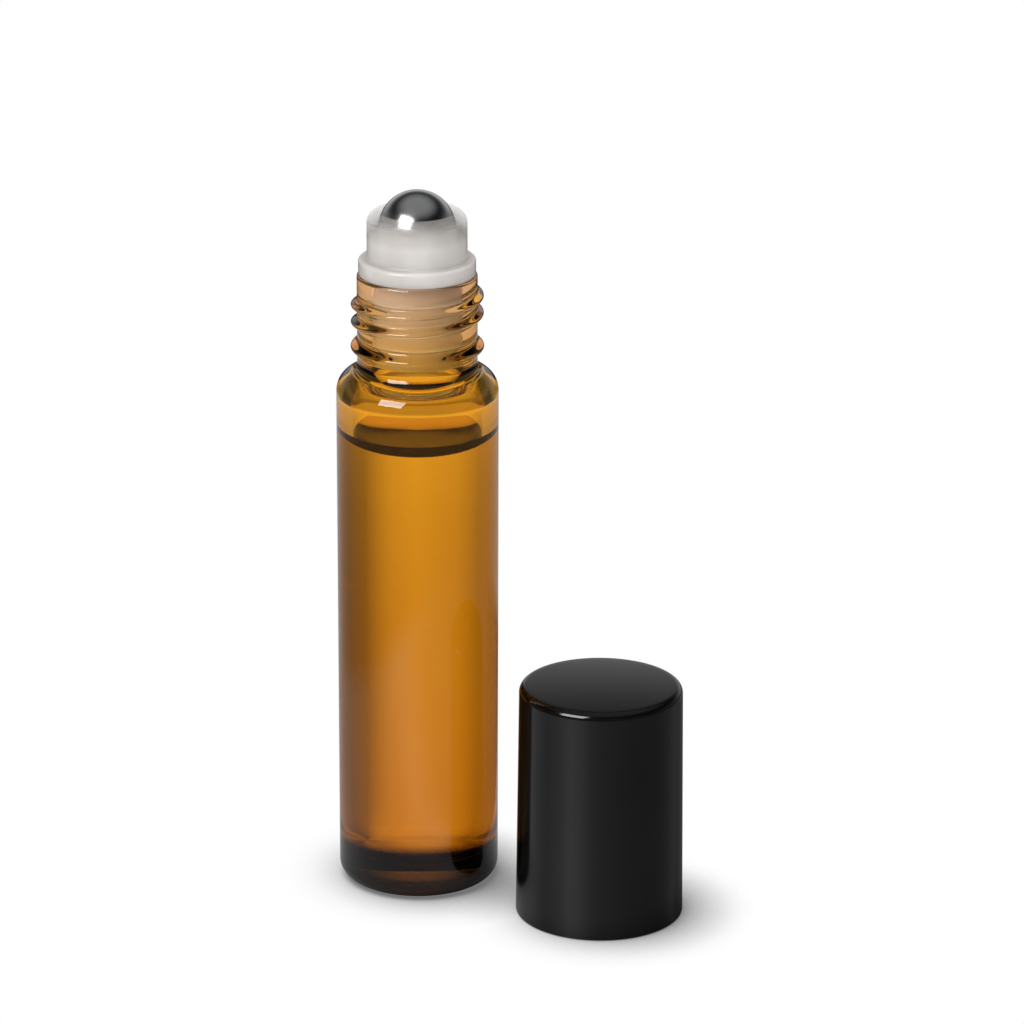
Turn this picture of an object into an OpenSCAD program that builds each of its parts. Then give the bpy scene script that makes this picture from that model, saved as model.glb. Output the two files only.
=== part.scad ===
// Roll-on bottle: an amber glass vial with a screw neck, its oil, a snap-in
// housing with a steel ball, and a two-piece screw cap that stands beside it.
// The origin is the centre of the bottle's base, on the surface it stands on.
// +Z runs up the bottle. The cap stands on the same surface, towards +X and -Y.

/* [Glass body] */
// Outside diameter of the body
body_d = 20; // [19:0.5:26]
// Height from the base to the top of the shoulder
body_h = 66.8; // [50:0.2:90]
// Thickness of the side wall and of the shoulder
wall = 2; // [1:0.1:2.4]
// Thickness of the base under the oil
base_t = 4; // [2:0.1:6]
// Outer radius between the base and the side
heel_r = 2; // [1:0.1:3]
// Inner radius between the floor and the side
floor_r = 1.5; // [0.5:0.1:3]
// Outer radius between the side and the shoulder
shoulder_r = 2.7; // [1.5:0.1:3]
// Inner radius between the side and the shoulder
hollow_r = 1.8; // [0.8:0.1:3]
// Width of the flat ring on which the base stands
foot_w = 1.8; // [1:0.1:3]
// Depth of the hollow under the base
punt_depth = 0.5; // [0.2:0.1:1.2]

/* [Glass neck] */
// Width of the rim that shows outside the housing's flange
rim_reveal = 0.2; // [0.1:0.1:0.6]
// Thickness of the neck between the threads
neck_wall = 1.8; // [1.2:0.1:2.2]
// Height of plain neck from the end of the thread to the rim
rim_land = 2.32; // [1.8:0.02:5]
// Radius where the neck meets the shoulder
neck_fillet = 1.5; // [0.3:0.1:1.8]
// Radius where the hole opens into the body
bore_edge = 1; // [0.4:0.1:2]
// Radius on the edges of the rim
rim_r = 0.4; // [0.2:0.1:0.6]
// How far the transfer bead stands out of the neck
bead_out = 0.8; // [0.5:0.05:0.9]
// Height of the transfer bead where it meets the neck
bead_w = 2.3; // [1.6:0.1:2.8]
// Height of the bead's centre above the shoulder
bead_up = 3.05; // [2.8:0.05:3.4]

/* [Screw thread] */
// How far the thread stands out of the neck
thread_out = 0.75; // [0.5:0.05:0.9]
// Rise of the thread in one turn
pitch = 2.2; // [2:0.1:2.6]
// Height of a ridge where it meets the neck
thread_w = 1.9; // [1.4:0.1:2]
// Turns of thread on the neck
thread_turns = 1.9; // [1.25:0.05:2]
// Height of the thread's start above the transfer bead
thread_up = 2.75; // [2.4:0.05:4]
// Direction in which the thread starts
thread_from = 120; // [0:5:360]
// Angle over which each end of a ridge runs out
runout = 50; // [20:5:80]
// Turns of thread in the cap
cap_turns = 1.25; // [0.75:0.05:1.5]
// Radial gap between the thread and the cap's bore
thread_clear = 0.2; // [0.1:0.05:0.3]

/* [Oil] */
// Depth of the oil's level below the top of the shoulder
oil_drop = 9; // [7.5:0.1:60]
// Rise of the oil where it wets the glass
meniscus = 1.3; // [0.5:0.1:1.5]
// Gap between the oil's solid and the glass
oil_clear = 0.02; // [0.01:0.01:0.1]

/* [Roller ball] */
// Diameter of the ball
ball_d = 9.5; // [9:0.1:9.8]
// Height of the ball's lowest point above the rim of the glass
ball_base = 0.9; // [0.5:0.05:1.6]
// Running clearance round the ball
ball_clear = 0.05; // [0.03:0.01:0.08]

/* [Roller housing] */
// Width of the flange that rests on the rim, outside the cup
flange_w = 1.05; // [0.6:0.05:2]
// Height of the flange
flange_h = 1.95; // [1.4:0.05:2.4]
// Radius on the flange's edges
flange_edge = 0.4; // [0.2:0.05:0.6]
// Wall of the cup round the ball
cup_wall = 1.15; // [0.8:0.05:1.5]
// Height of the cup's lip above its grip on the ball
lip_rise = 0.45; // [0.2:0.05:0.8]
// Outer radius of the cup's lip
lip_r = 1.5; // [0.8:0.1:1.6]
// Thickness of the lip's edge above the ball's grip
lip_land = 0.35; // [0.2:0.05:0.5]
// Height above the ball's centre at which the lip grips it
grip_up = 1.8; // [1.4:0.05:1.9]
// Room round the ball between its seat and the lip
moat = 0.25; // [0.15:0.05:0.4]
// Diameter of the ring on which the ball sits
seat_d = 6.4; // [5.6:0.1:7]
// Diameter of the feed hole under the ball
feed_d = 4.4; // [2.4:0.1:5]
// Thickness of the floor round the feed hole
floor_t = 1.3; // [0.9:0.1:1.8]
// Gap between the plug skirt and the hole it fits
plug_gap = 0.25; // [0.15:0.05:0.4]
// Length of the plug skirt below the rim
plug_h = 11; // [4:0.5:12]
// Wall of the plug skirt
plug_wall = 1; // [0.7:0.1:1.2]
// Interference of the sealing beads in the hole
plug_grip = 0.04; // [0.02:0.01:0.08]
// Sealing beads on the skirt
plug_beads = 3; // [1:1:4]
// Height of one sealing bead
plug_bead_w = 0.9; // [0.7:0.1:1.1]

/* [Cap] */
// Wall of the shell at its open end
cap_wall = 1.1; // [0.9:0.1:4]
// How far the side leans in from the open end to the top
cap_lean = 0.3; // [0:0.05:0.4]
// Empty height between the disc over the ball and the shell's top
cap_head = 3.8; // [1:0.1:10]
// Radius round the cap's top
cap_edge = 0.9; // [0.4:0.1:1.4]
// Radius of the cap's slightly crowned top
crown_r = 210; // [100:10:400]
// Radius on the edges of the cap's open end
cap_rim_r = 0.25; // [0.1:0.05:0.3]
// Thickness of the shell's top
cap_top_t = 1.5; // [0.8:0.1:2]
// Wall of the inner sleeve
liner_wall = 0.9; // [0.6:0.1:1]
// Gap between the inner sleeve and the shell
liner_fit = 0.05; // [0.03:0.01:0.1]
// Height of the inner sleeve above the shell's open end
liner_recess = 0.6; // [0.3:0.1:1]
// Gap between the shell's open end and the shoulder's top, closed
closed_drop = 0.3; // [0:0.1:0.4]
// Thickness of the disc over the ball
disc_t = 1.2; // [0.8:0.1:1.8]
// Gap between the disc and the ball's top, closed
disc_gap = 0.5; // [0.3:0.1:0.8]
// Diameter of the ring that closes on the ball
seal_d = 5.2; // [4:0.1:6]
// Width of the ring that closes on the ball
seal_w = 0.8; // [0.5:0.1:1]
// Gap between the ring and the ball, closed
seal_gap = 0.03; // [0.01:0.01:0.1]
// Radial gap between the sleeve and the housing's flange
step_clear = 0.4; // [0.3:0.1:0.6]
// Gap between the standing cap and the bottle
cap_gap = 5.15; // [3:0.05:40]
// Direction of the standing cap, seen from the bottle
cap_dir = -27.3; // [-90:0.1:0]

/* [Hidden] */

// Smoothness of round shapes, of rounded edges and of the swept thread
round_fn = 120;
arc_n = 8;
turn_n = 44;
crest_n = 6;

ball_r = ball_d / 2;
socket_r = ball_r + ball_clear;
moat_r = ball_r + moat;
cup_r = moat_r + cup_wall;
flange_r = cup_r + flange_w;

neck_r = flange_r + rim_reveal;
bore_r = neck_r - neck_wall;
thread_r = neck_r + thread_out;
bead_z = body_h + bead_up;
thread_z = bead_z + thread_up;
rim_z = thread_z + pitch * thread_turns + rim_land;

body_r = body_d / 2;
inner_r = body_r - wall;
punt_r = body_r - heel_r - foot_w;
punt_curve_r = (pow(punt_r, 2) + pow(punt_depth, 2)) / (2 * punt_depth);

// How far a swept ridge reaches into the wall that carries it
ridge_sink = 0.35;
ridge_dip = 0.1;

// Height of the cap's ridge, as a share of the neck's
cap_ridge_share = 0.6;

ball_z = rim_z + ball_base + ball_r;
feed_r = feed_d / 2;
seat_r = seat_d / 2;
lip_z = ball_z + grip_up + lip_rise;
grip_r = socket_height(grip_up);
plug_r = bore_r - plug_gap;
plug_bore_r = plug_r - plug_wall;
plug_taper = plug_wall / 3;

closed_z = body_h - closed_drop;
liner_bore_r = thread_r + thread_clear;
liner_r = liner_bore_r + liner_wall;
shell_bore_r = liner_r + liner_fit;
cap_r = shell_bore_r + cap_wall;
cap_top_r = cap_r - cap_lean;
step_r = flange_r + step_clear;
step_z = rim_z - closed_z;
disc_z = ball_z + ball_r + disc_gap - closed_z;
seal_r = seal_d / 2;
seal_in_r = seal_r - seal_w / 2;
shell_roof_z = disc_z + disc_t + cap_head;
cap_h = shell_roof_z + cap_top_t;
cap_reach = body_r + cap_r + cap_gap;
cap_x = cap_reach * cos(cap_dir);
cap_y = cap_reach * sin(cap_dir);

// Distance across the socket from a point h off its centre line
function socket_height(h) = sqrt(pow(socket_r, 2) - pow(h, 2));

// Height in the cap of the closed sealing ring where its radius is r
function seal_height(r) = ball_z + sqrt(pow(ball_r + seal_gap, 2) - pow(r, 2)) - closed_z;

// Points along an arc in the X-Z plane
function arc(x, z, r, from, to, n = arc_n) =
    [for (i = [0:n]) let (a = from + (to - from) * i / n) [x + r * cos(a), z + r * sin(a)]];

// Half of a smooth bump on a wall of radius r, from z low to z high
function bump(r, high, z, w, n = crest_n) =
    [for (i = [0:n]) let (u = 2 * i / n - 1) [r + high * (1 + cos(180 * u)) / 2, z + w / 2 * u]];

// Solid of revolution of a closed outline
module turned(points) {
    rotate_extrude($fn = round_fn) polygon(points);
}

// One screw ridge, swept along a helix. side is 1 on a neck and -1 in a bore
module ridge(root_r, crest_r, w, turns, from_a, from_z, side) {
    steps = ceil(turns * turn_n);
    ring_n = crest_n + 3;
    high = abs(crest_r - root_r) + ridge_dip;
    function rise(a) = min(1, a / runout, (turns * 360 - a) / runout);
    function fade(a) = (1 - cos(180 * max(0, rise(a)))) / 2;
    function section(a) = [
        each [for (p = bump(-ridge_dip, high * fade(a), 0, w)) p],
        [-ridge_sink, w / 2],
        [-ridge_sink, -w / 2]
    ];
    points = [
        for (i = [0:steps])
            let (a = turns * 360 * i / steps)
            for (p = section(a))
                let (r = root_r + side * p[0])
                [r * cos(from_a + a), r * sin(from_a + a), from_z + p[1] + pitch * a / 360]
    ];
    sides = [
        for (i = [0:steps - 1])
            for (j = [0:ring_n - 1])
                let (k = (j + 1) % ring_n)
                let (p = i * ring_n)
                let (q = p + ring_n)
                each [[p + j, q + j, q + k], [p + j, q + k, p + k]]
    ];
    ends = [
        [for (j = [0:ring_n - 1]) j],
        [for (j = [ring_n - 1:-1:0]) steps * ring_n + j]
    ];
    faces = concat(sides, ends);
    flipped = [for (f = faces) [for (j = [len(f) - 1:-1:0]) f[j]]];
    polyhedron(points, side > 0 ? flipped : faces);
}

// Amber glass bottle
module bottle() {
    blend_in = neck_r + neck_fillet - body_r + shoulder_r;
    blend_r = shoulder_r + neck_fillet;
    blend_a = blend_in > 0 ? acos(blend_in / blend_r) : 90;
    blend_z = body_h - shoulder_r + blend_r * sin(blend_a);
    hollow_reach = hollow_r + bore_edge;
    hollow_a = acos(max(0, 1 - (inner_r - bore_r) / hollow_reach));
    hollow_z = body_h - wall - hollow_r * sin(hollow_a);
    bore_z = hollow_z + hollow_reach * sin(hollow_a);
    outside = concat(
        arc(0, punt_depth - punt_curve_r, punt_curve_r, 90, 90 - asin(punt_r / punt_curve_r)),
        arc(body_r - heel_r, heel_r, heel_r, -90, 0),
        arc(body_r - shoulder_r, body_h - shoulder_r, shoulder_r, 0, blend_a),
        arc(neck_r + neck_fillet, blend_z, neck_fillet, 180 + blend_a, 180),
        bump(neck_r, bead_out, bead_z, bead_w, 2 * crest_n),
        arc(neck_r - rim_r, rim_z - rim_r, rim_r, 0, 90)
    );
    inside = concat(
        arc(bore_r + rim_r, rim_z - rim_r, rim_r, 90, 180),
        arc(bore_r + bore_edge, bore_z, bore_edge, 180, 180 + hollow_a),
        arc(inner_r - hollow_r, hollow_z, hollow_r, hollow_a, 0),
        arc(inner_r - floor_r, base_t + floor_r, floor_r, 0, -90),
        [[0, base_t]]
    );
    color([0.62, 0.33, 0.07, 0.6]) {
        turned(concat(outside, inside));
        ridge(neck_r, thread_r, thread_w, thread_turns, thread_from, thread_z, 1);
    }
}

// Oil in the bottle, with its curved edge where it wets the glass
module oil_fill() {
    oil_r = inner_r - oil_clear;
    oil_z = body_h - oil_drop;
    color([0.78, 0.5, 0.12, 0.8])
        turned(concat(
            [[0, base_t + oil_clear]],
            arc(inner_r - floor_r, base_t + floor_r, floor_r - oil_clear, -90, 0),
            [[oil_r, oil_z + meniscus]],
            arc(oil_r - meniscus - oil_clear, oil_z + meniscus, meniscus, 0, -90),
            [[0, oil_z]]
        ));
}

// Housing that holds the ball and plugs the neck
module roller_housing() {
    seat_z = ball_z - socket_height(seat_r);
    feed_z = ball_z - socket_height(feed_r);
    seat_a = asin(seat_r / socket_r);
    feed_a = asin(feed_r / socket_r);
    grip_a = asin(grip_up / socket_r);
    bead_step = plug_h / (plug_beads + 1);
    bead_high = bore_r + plug_grip - plug_r;
    outside = concat(
        [[plug_r - plug_taper, rim_z - plug_h]],
        [for (i = [1:plug_beads]) each bump(plug_r, bead_high, rim_z - plug_h + bead_step * i, plug_bead_w)],
        [[plug_r, rim_z], [flange_r, rim_z]],
        arc(flange_r - flange_edge, rim_z + flange_h - flange_edge, flange_edge, 0, 90),
        [[cup_r, rim_z + flange_h]],
        arc(cup_r - lip_r, lip_z - lip_r, lip_r, 0, acos((grip_r + lip_land - cup_r + lip_r) / lip_r))
    );
    socket = concat(
        arc(0, ball_z, socket_r, grip_a, 0),
        [[moat_r, ball_z - moat], [moat_r, seat_z + moat]],
        arc(0, ball_z, socket_r, seat_a - 90, feed_a - 90)
    );
    inside = [
        [feed_r, feed_z - floor_t],
        [plug_bore_r, feed_z - floor_t],
        [plug_bore_r, rim_z - plug_h]
    ];
    color([0.9, 0.9, 0.88, 0.8])
        turned(concat(outside, socket, inside));
}

// Steel ball
module roller_ball() {
    color([0.72, 0.73, 0.75])
        translate([0, 0, ball_z])
            sphere(ball_r, $fn = round_fn);
}

// Outer shell of the cap
module cap_shell() {
    crown_a = acos((cap_top_r - cap_edge) / (crown_r - cap_edge));
    crown_z = cap_h - crown_r;
    edge_z = crown_z + (crown_r - cap_edge) * sin(crown_a);
    color([0.05, 0.05, 0.055])
        translate([cap_x, cap_y, 0])
            turned(concat(
                arc(cap_r - cap_rim_r, cap_rim_r, cap_rim_r, -90, 0, arc_n / 2),
                arc(cap_top_r - cap_edge, edge_z, cap_edge, 0, crown_a),
                arc(0, crown_z, crown_r, crown_a, 90),
                [[0, shell_roof_z], [shell_bore_r, shell_roof_z]],
                arc(shell_bore_r + cap_rim_r, cap_rim_r, cap_rim_r, 180, 270, arc_n / 2)
            ));
}

// Inner sleeve of the cap, with its thread, disc and sealing ring
module cap_liner() {
    outline = [
        [liner_bore_r, liner_recess],
        [liner_r, liner_recess],
        [liner_r, shell_roof_z],
        [step_r, shell_roof_z],
        [step_r, disc_z + disc_t],
        [0, disc_z + disc_t],
        [0, disc_z],
        [seal_r - seal_w, disc_z],
        [seal_in_r, seal_height(seal_in_r)],
        [seal_r, seal_height(seal_r)],
        [seal_r + seal_w / 2, disc_z],
        [step_r, disc_z],
        [step_r, step_z + liner_bore_r - step_r],
        [liner_bore_r, step_z]
    ];
    color([0.1, 0.1, 0.11])
        translate([cap_x, cap_y, 0]) {
            turned(outline);
            ridge(
                liner_bore_r,
                neck_r + thread_clear + ridge_dip,
                thread_w * cap_ridge_share,
                cap_turns,
                thread_from,
                thread_z - closed_z - pitch / 2,
                -1
            );
        }
}

bottle();
oil_fill();
roller_housing();
roller_ball();
cap_shell();
cap_liner();
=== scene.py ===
"""Roll-on bottle: the looks of an amber glass vial, its roller ball and its black cap.

Lengths in the classes are millimetres, as on a drawing, and become metres when a piece is made.
"""
import logging
import math
from dataclasses import dataclass
from enum import Enum
from typing import Sequence

import bpy
from mathutils import Matrix, Vector


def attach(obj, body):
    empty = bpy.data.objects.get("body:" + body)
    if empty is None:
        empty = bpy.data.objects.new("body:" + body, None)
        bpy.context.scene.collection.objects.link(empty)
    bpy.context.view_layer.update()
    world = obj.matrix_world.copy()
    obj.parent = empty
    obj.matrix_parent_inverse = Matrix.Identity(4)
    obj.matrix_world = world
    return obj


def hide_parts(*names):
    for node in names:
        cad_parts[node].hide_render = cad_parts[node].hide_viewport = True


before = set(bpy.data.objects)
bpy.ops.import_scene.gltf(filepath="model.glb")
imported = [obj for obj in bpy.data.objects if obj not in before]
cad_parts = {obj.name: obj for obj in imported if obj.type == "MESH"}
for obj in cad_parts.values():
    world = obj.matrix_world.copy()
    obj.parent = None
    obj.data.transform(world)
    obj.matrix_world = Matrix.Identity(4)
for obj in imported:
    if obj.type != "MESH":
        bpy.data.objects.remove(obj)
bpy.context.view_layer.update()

MM = 0.001
SAME_PLACE = 1e-7
WHITE = (1.0, 1.0, 1.0)
Point = tuple[float, float]
Triple = tuple[float, float, float]
Socket = bpy.types.NodeSocket
Value = float | Socket

logging.basicConfig(level=logging.INFO, format="%(name)s: %(message)s")
log = logging.getLogger("roll_on_bottle")


class Body(Enum):
    """What a piece moves with."""

    BOTTLE = "bottle"
    BALL = "ball"
    CAP = "cap"


def metres(span: Point) -> Point:
    """Turns a span in millimetres into metres."""
    return span[0] * MM, span[1] * MM


def arc(x: float, z: float, radius: float, start: float, end: float, steps: int = 10) -> list[Point]:
    """Points along an arc of a half outline.

    Args:
        x: Distance of the arc's centre from the axis.
        z: Height of the arc's centre.
        radius: Radius of the arc.
        start: Direction of the first point, in degrees from +X towards +Z.
        end: Direction of the last point.
        steps: Number of chords.

    Returns:
        The points, first to last.
    """
    turns = [math.radians(start + (end - start) * i / steps) for i in range(steps + 1)]
    return [(x + radius * math.cos(a), z + radius * math.sin(a)) for a in turns]


def bump(x: float, high: float, z: float, width: float, steps: int = 20) -> list[Point]:
    """Half outline of a smooth ring that stands out of a straight wall.

    Args:
        x: Radius of the wall.
        high: How far the ring stands out.
        z: Height of the ring's middle.
        width: Height of the ring where it meets the wall.
        steps: Number of chords.

    Returns:
        The points, from the bottom up.
    """
    shares = [2 * i / steps - 1 for i in range(steps + 1)]
    return [(x + high * (1 + math.cos(math.pi * u)) / 2, z + width / 2 * u) for u in shares]


def held(outline: Sequence[Point], reach: float = 0.12, least: float = 5.0) -> list[Point]:
    """Adds a point near each end of every long straight, so that smooth shading stays in the curves.

    Args:
        outline: A half outline.
        reach: Distance of the added points from the straight's ends.
        least: How many times the reach a straight has to be to count as long.

    Returns:
        The outline with its added points.
    """
    full = [outline[0]]
    for (ax, az), (bx, bz) in zip(outline, outline[1:]):
        length = math.hypot(bx - ax, bz - az)
        if length > least * reach:
            for share in (reach / length, 1 - reach / length):
                full.append((ax + (bx - ax) * share, az + (bz - az) * share))
        full.append((bx, bz))
    return full


def pick(obj: bpy.types.Object) -> None:
    """Selects one object alone."""
    bpy.ops.object.select_all(action="DESELECT")
    obj.select_set(True)
    bpy.context.view_layer.objects.active = obj


def edit_all(obj: bpy.types.Object) -> None:
    """Opens one object in edit mode with all of it selected."""
    pick(obj)
    bpy.ops.object.mode_set(mode="EDIT")
    bpy.ops.mesh.select_mode(type="VERT")
    bpy.ops.mesh.select_all(action="SELECT")


def turned(name: str, outline: Sequence[Point], segments: int) -> bpy.types.Object:
    """Turns a closed half outline about the Z axis, as on a lathe.

    Args:
        name: Name of the piece.
        outline: The half outline, from end to end.
        segments: Number of steps in the turn.

    Returns:
        The closed piece, its faces outwards.
    """
    bpy.ops.object.select_all(action="DESELECT")
    bpy.ops.mesh.primitive_plane_add(size=MM, location=(0, 0, 0))
    piece = bpy.context.object
    piece.name = piece.data.name = name
    edit_all(piece)
    bpy.ops.mesh.merge(type="CENTER")
    bpy.ops.transform.translate(value=(outline[0][0] * MM, 0, outline[0][1] * MM))
    for (ax, az), (bx, bz) in zip(outline, outline[1:]):
        step = ((bx - ax) * MM, 0, (bz - az) * MM)
        bpy.ops.mesh.extrude_vertices_move(TRANSFORM_OT_translate={"value": step})
    bpy.ops.mesh.select_all(action="SELECT")
    bpy.ops.mesh.spin(steps=segments, angle=math.tau, center=(0, 0, 0), axis=(0, 0, 1))
    bpy.ops.mesh.select_all(action="SELECT")
    bpy.ops.mesh.remove_doubles(threshold=SAME_PLACE)
    bpy.ops.mesh.normals_make_consistent(inside=False)
    bpy.ops.object.mode_set(mode="OBJECT")
    return piece


def placed(obj: bpy.types.Object, x: float, y: float) -> None:
    """Moves a piece's mesh across the floor, its object still at the origin."""
    edit_all(obj)
    bpy.ops.transform.translate(value=(x * MM, y * MM, 0))
    bpy.ops.object.mode_set(mode="OBJECT")


@dataclass(frozen=True)
class ScrewRidge:
    """One screw ridge on a straight wall, in millimetres and degrees."""

    wall: float
    high: float
    width: float
    turns: float
    start: float
    base: float
    pitch: float = 2.2
    runout: float = 50
    dip: float = 0.1
    on_wall: float = 0.01

    def rise(self, x: float, y: float, z: float) -> float:
        """How far the ridge stands from the wall at a point of it.

        Args:
            x: Place across, from the wall's axis.
            y: Place along the view, from the wall's axis.
            z: Height.

        Returns:
            The rise as a share of the ridge's full height.
        """
        best = 0.0
        first = (math.degrees(math.atan2(y, x)) - self.start) % 360
        for lap in range(math.ceil(self.turns) + 1):
            angle = first + 360 * lap
            near = 2 * (z - self.base - self.pitch * angle / 360) / self.width
            left = self.turns * 360 - angle
            if abs(near) < 1 and left > 0:
                fade = min(1.0, angle / self.runout, left / self.runout)
                swell = (1 - math.cos(math.pi * fade)) / 2
                shape = (self.high + self.dip) * swell * (1 + math.cos(math.pi * near)) / 2
                best = max(best, (shape - self.dip) / self.high)
        return best

    def rings(self, low: float, top: float, step: float = 0.1) -> list[Point]:
        """Closely spaced points of the wall that carries the ridge.

        Args:
            low: Height of the first point.
            top: Height of the last point.
            step: Distance between the points.

        Returns:
            The points, from the bottom up.
        """
        count = round((top - low) / step)
        return [(self.wall, low + (top - low) * i / count) for i in range(count + 1)]

    def carve(self, obj: bpy.types.Object) -> None:
        """Raises the ridge on the wall of a piece that stands on the Z axis.

        Args:
            obj: The piece.
        """
        group = obj.vertex_groups.new(name="screw ridge")
        for vertex in obj.data.vertices:
            x, y, z = (c / MM for c in vertex.co)
            if abs(math.hypot(x, y) - self.wall) < self.on_wall:
                rise = self.rise(x, y, z)
                if rise > 0:
                    group.add([vertex.index], rise, "REPLACE")
        pick(obj)
        lift = obj.modifiers.new("screw ridge", "DISPLACE")
        lift.vertex_group = group.name
        lift.direction = "NORMAL"
        lift.mid_level = 0
        lift.strength = self.high * MM
        bpy.ops.object.modifier_apply(modifier=lift.name)
        obj.vertex_groups.clear()


class Nodes:
    """Short ways to add and join the nodes of one tree."""

    def __init__(self, tree: bpy.types.NodeTree) -> None:
        """Empties the tree.

        Args:
            tree: The tree to build in.
        """
        self.tree = tree
        tree.nodes.clear()

    def join(self, start: Socket, end: Socket) -> None:
        """Joins an output to an input."""
        self.tree.links.new(start, end)

    def feed(self, slot: Socket, value: Value | Sequence[float]) -> None:
        """Sets an input, or joins an output to it.

        Args:
            slot: The input.
            value: A number, a colour with or without its alpha, or an output.
        """
        if isinstance(value, bpy.types.NodeSocket):
            self.join(value, slot)
        elif isinstance(value, tuple):
            slot.default_value = (*value, 1)[:4]
        else:
            slot.default_value = value

    def fill(self, node: bpy.types.Node, **values: object) -> None:
        """Sets a node's properties and inputs.

        Args:
            node: The node.
            values: Properties of the node, and values of its inputs by name with _ for a space.
        """
        for key, value in values.items():
            if hasattr(node, key):
                setattr(node, key, value)
            else:
                self.feed(node.inputs[key.replace("_", " ")], value)

    def add(self, kind: str, **values: object) -> bpy.types.Node:
        """Adds a node.

        Args:
            kind: The node's type, without its ShaderNode prefix, or the full name of a group node.
            values: Its properties and inputs, as fill takes them.

        Returns:
            The node.
        """
        node = self.tree.nodes.new(kind if kind.startswith("Node") else "ShaderNode" + kind)
        self.fill(node, **values)
        return node

    def sum(self, operation: str, first: Value, second: Value, clamp: bool = False) -> Socket:
        """Adds a sum of two values.

        Args:
            operation: The Math node's operation.
            first: A number or an output.
            second: A number or an output.
            clamp: Whether the result stays from 0 to 1.

        Returns:
            The result's output.
        """
        node = self.add("Math", operation=operation, use_clamp=clamp)
        self.feed(node.inputs[0], first)
        self.feed(node.inputs[1], second)
        return node.outputs[0]

    def span(
        self, value: Socket, limits: Point, start: Value = 0.0, end: float = 1.0, eased: bool = False
    ) -> Socket:
        """Adds a change of range that is held at both ends.

        Args:
            value: What it reads.
            limits: The values that give the first and the last result.
            start: The first result.
            end: The last result.
            eased: Whether it eases in and out.

        Returns:
            The result's output.
        """
        node = self.add("MapRange", interpolation_type="SMOOTHSTEP" if eased else "LINEAR", Value=value)
        self.fill(node, From_Min=limits[0], From_Max=limits[1], To_Min=start, To_Max=end)
        return node.outputs[0]

    def mix(self, share: Socket, first: Triple | Socket, second: Triple | Socket) -> Socket:
        """Adds a mix of two colours.

        Args:
            share: How much of the second colour is in it.
            first: The first colour.
            second: The second colour.

        Returns:
            The colour's output.
        """
        node = self.add("Mix", data_type="RGBA")
        slots = {slot.identifier: slot for slot in (*node.inputs, *node.outputs)}
        for name, value in (("Factor_Float", share), ("A_Color", first), ("B_Color", second)):
            self.feed(slots[name], value)
        return slots["Result_Color"]

    def blend(self, share: Socket, first: Socket, second: Socket) -> Socket:
        """Adds a mix of two shaders.

        Args:
            share: How much of the second shader is in it.
            first: The first shader.
            second: The second shader.

        Returns:
            The shader's output.
        """
        node = self.add("MixShader")
        for slot, value in zip(node.inputs, (share, first, second)):
            self.join(value, slot)
        return node.outputs[0]

    def times(self, first: Value, second: Value) -> Socket:
        """Adds a product."""
        return self.sum("MULTIPLY", first, second)

    def split(self, vector: Socket) -> dict[str, Socket]:
        """Splits a vector.

        Args:
            vector: The vector.

        Returns:
            The outputs of its X, Y and Z.
        """
        node = self.add("SeparateXYZ", Vector=vector)
        return {slot.name: slot for slot in node.outputs}


def new_group(name: str, inputs: dict[str, float], outputs: Sequence[str]) -> bpy.types.NodeTree:
    """Makes an empty shader node group with a vector input and the named sockets.

    Args:
        name: The group's name.
        inputs: Number inputs and their usual values.
        outputs: Number outputs.

    Returns:
        The group's tree.
    """
    tree = bpy.data.node_groups.new(name, "ShaderNodeTree")
    tree.interface.new_socket("Place", in_out="INPUT", socket_type="NodeSocketVector")
    for label, value in inputs.items():
        made = tree.interface.new_socket(label, in_out="INPUT", socket_type="NodeSocketFloat")
        made.default_value = value
    for label in outputs:
        tree.interface.new_socket(label, in_out="OUTPUT", socket_type="NodeSocketFloat")
    return tree


def satin_group() -> bpy.types.NodeTree:
    """Fine moulded grain with slow handling marks, for every plastic and the steel.

    Returns:
        A group with a roughness and a height.
    """
    usual = {"Grain size": 0.12, "Roughness": 0.3, "Spread": 0.1}
    tree = new_group("Moulded grain", usual, ("Roughness", "Height"))
    nodes = Nodes(tree)
    enter, leave = nodes.add("NodeGroupInput").outputs, nodes.add("NodeGroupOutput").inputs
    grain = nodes.sum("DIVIDE", 1 / MM, enter["Grain size"])
    fine = nodes.add("TexNoise", Vector=enter["Place"], Scale=grain, Detail=3.0, Roughness=0.6).outputs[0]
    slow = nodes.add("TexNoise", Vector=enter["Place"], Scale=140.0, Detail=2.0, Roughness=0.5).outputs[0]
    both = nodes.sum("ADD", nodes.times(fine, 0.5), nodes.times(slow, 0.5))
    swing = nodes.times(nodes.sum("SUBTRACT", both, 0.5), enter["Spread"])
    nodes.join(nodes.sum("ADD", swing, enter["Roughness"], clamp=True), leave["Roughness"])
    nodes.join(fine, leave["Height"])
    return tree


def ripple_group() -> bpy.types.NodeTree:
    """Slow waves left by moulding, drawn out along the height, for every finish.

    Returns:
        A group with a height and a slow tint mask.
    """
    tree = new_group("Slow ripple", {"Scale": 90.0, "Stretch": 0.35}, ("Height", "Mask"))
    nodes = Nodes(tree)
    enter, leave = nodes.add("NodeGroupInput").outputs, nodes.add("NodeGroupOutput").inputs
    place = nodes.split(enter["Place"])
    height = nodes.times(place["Z"], enter["Stretch"])
    drawn = nodes.add("CombineXYZ", X=place["X"], Y=place["Y"], Z=height).outputs[0]
    wave = nodes.add("TexNoise", Vector=drawn, Scale=enter["Scale"], Detail=1.0, Roughness=0.4).outputs[0]
    nodes.join(wave, leave["Height"])
    nodes.join(nodes.span(wave, (0.35, 0.65)), leave["Mask"])
    return tree


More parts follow.
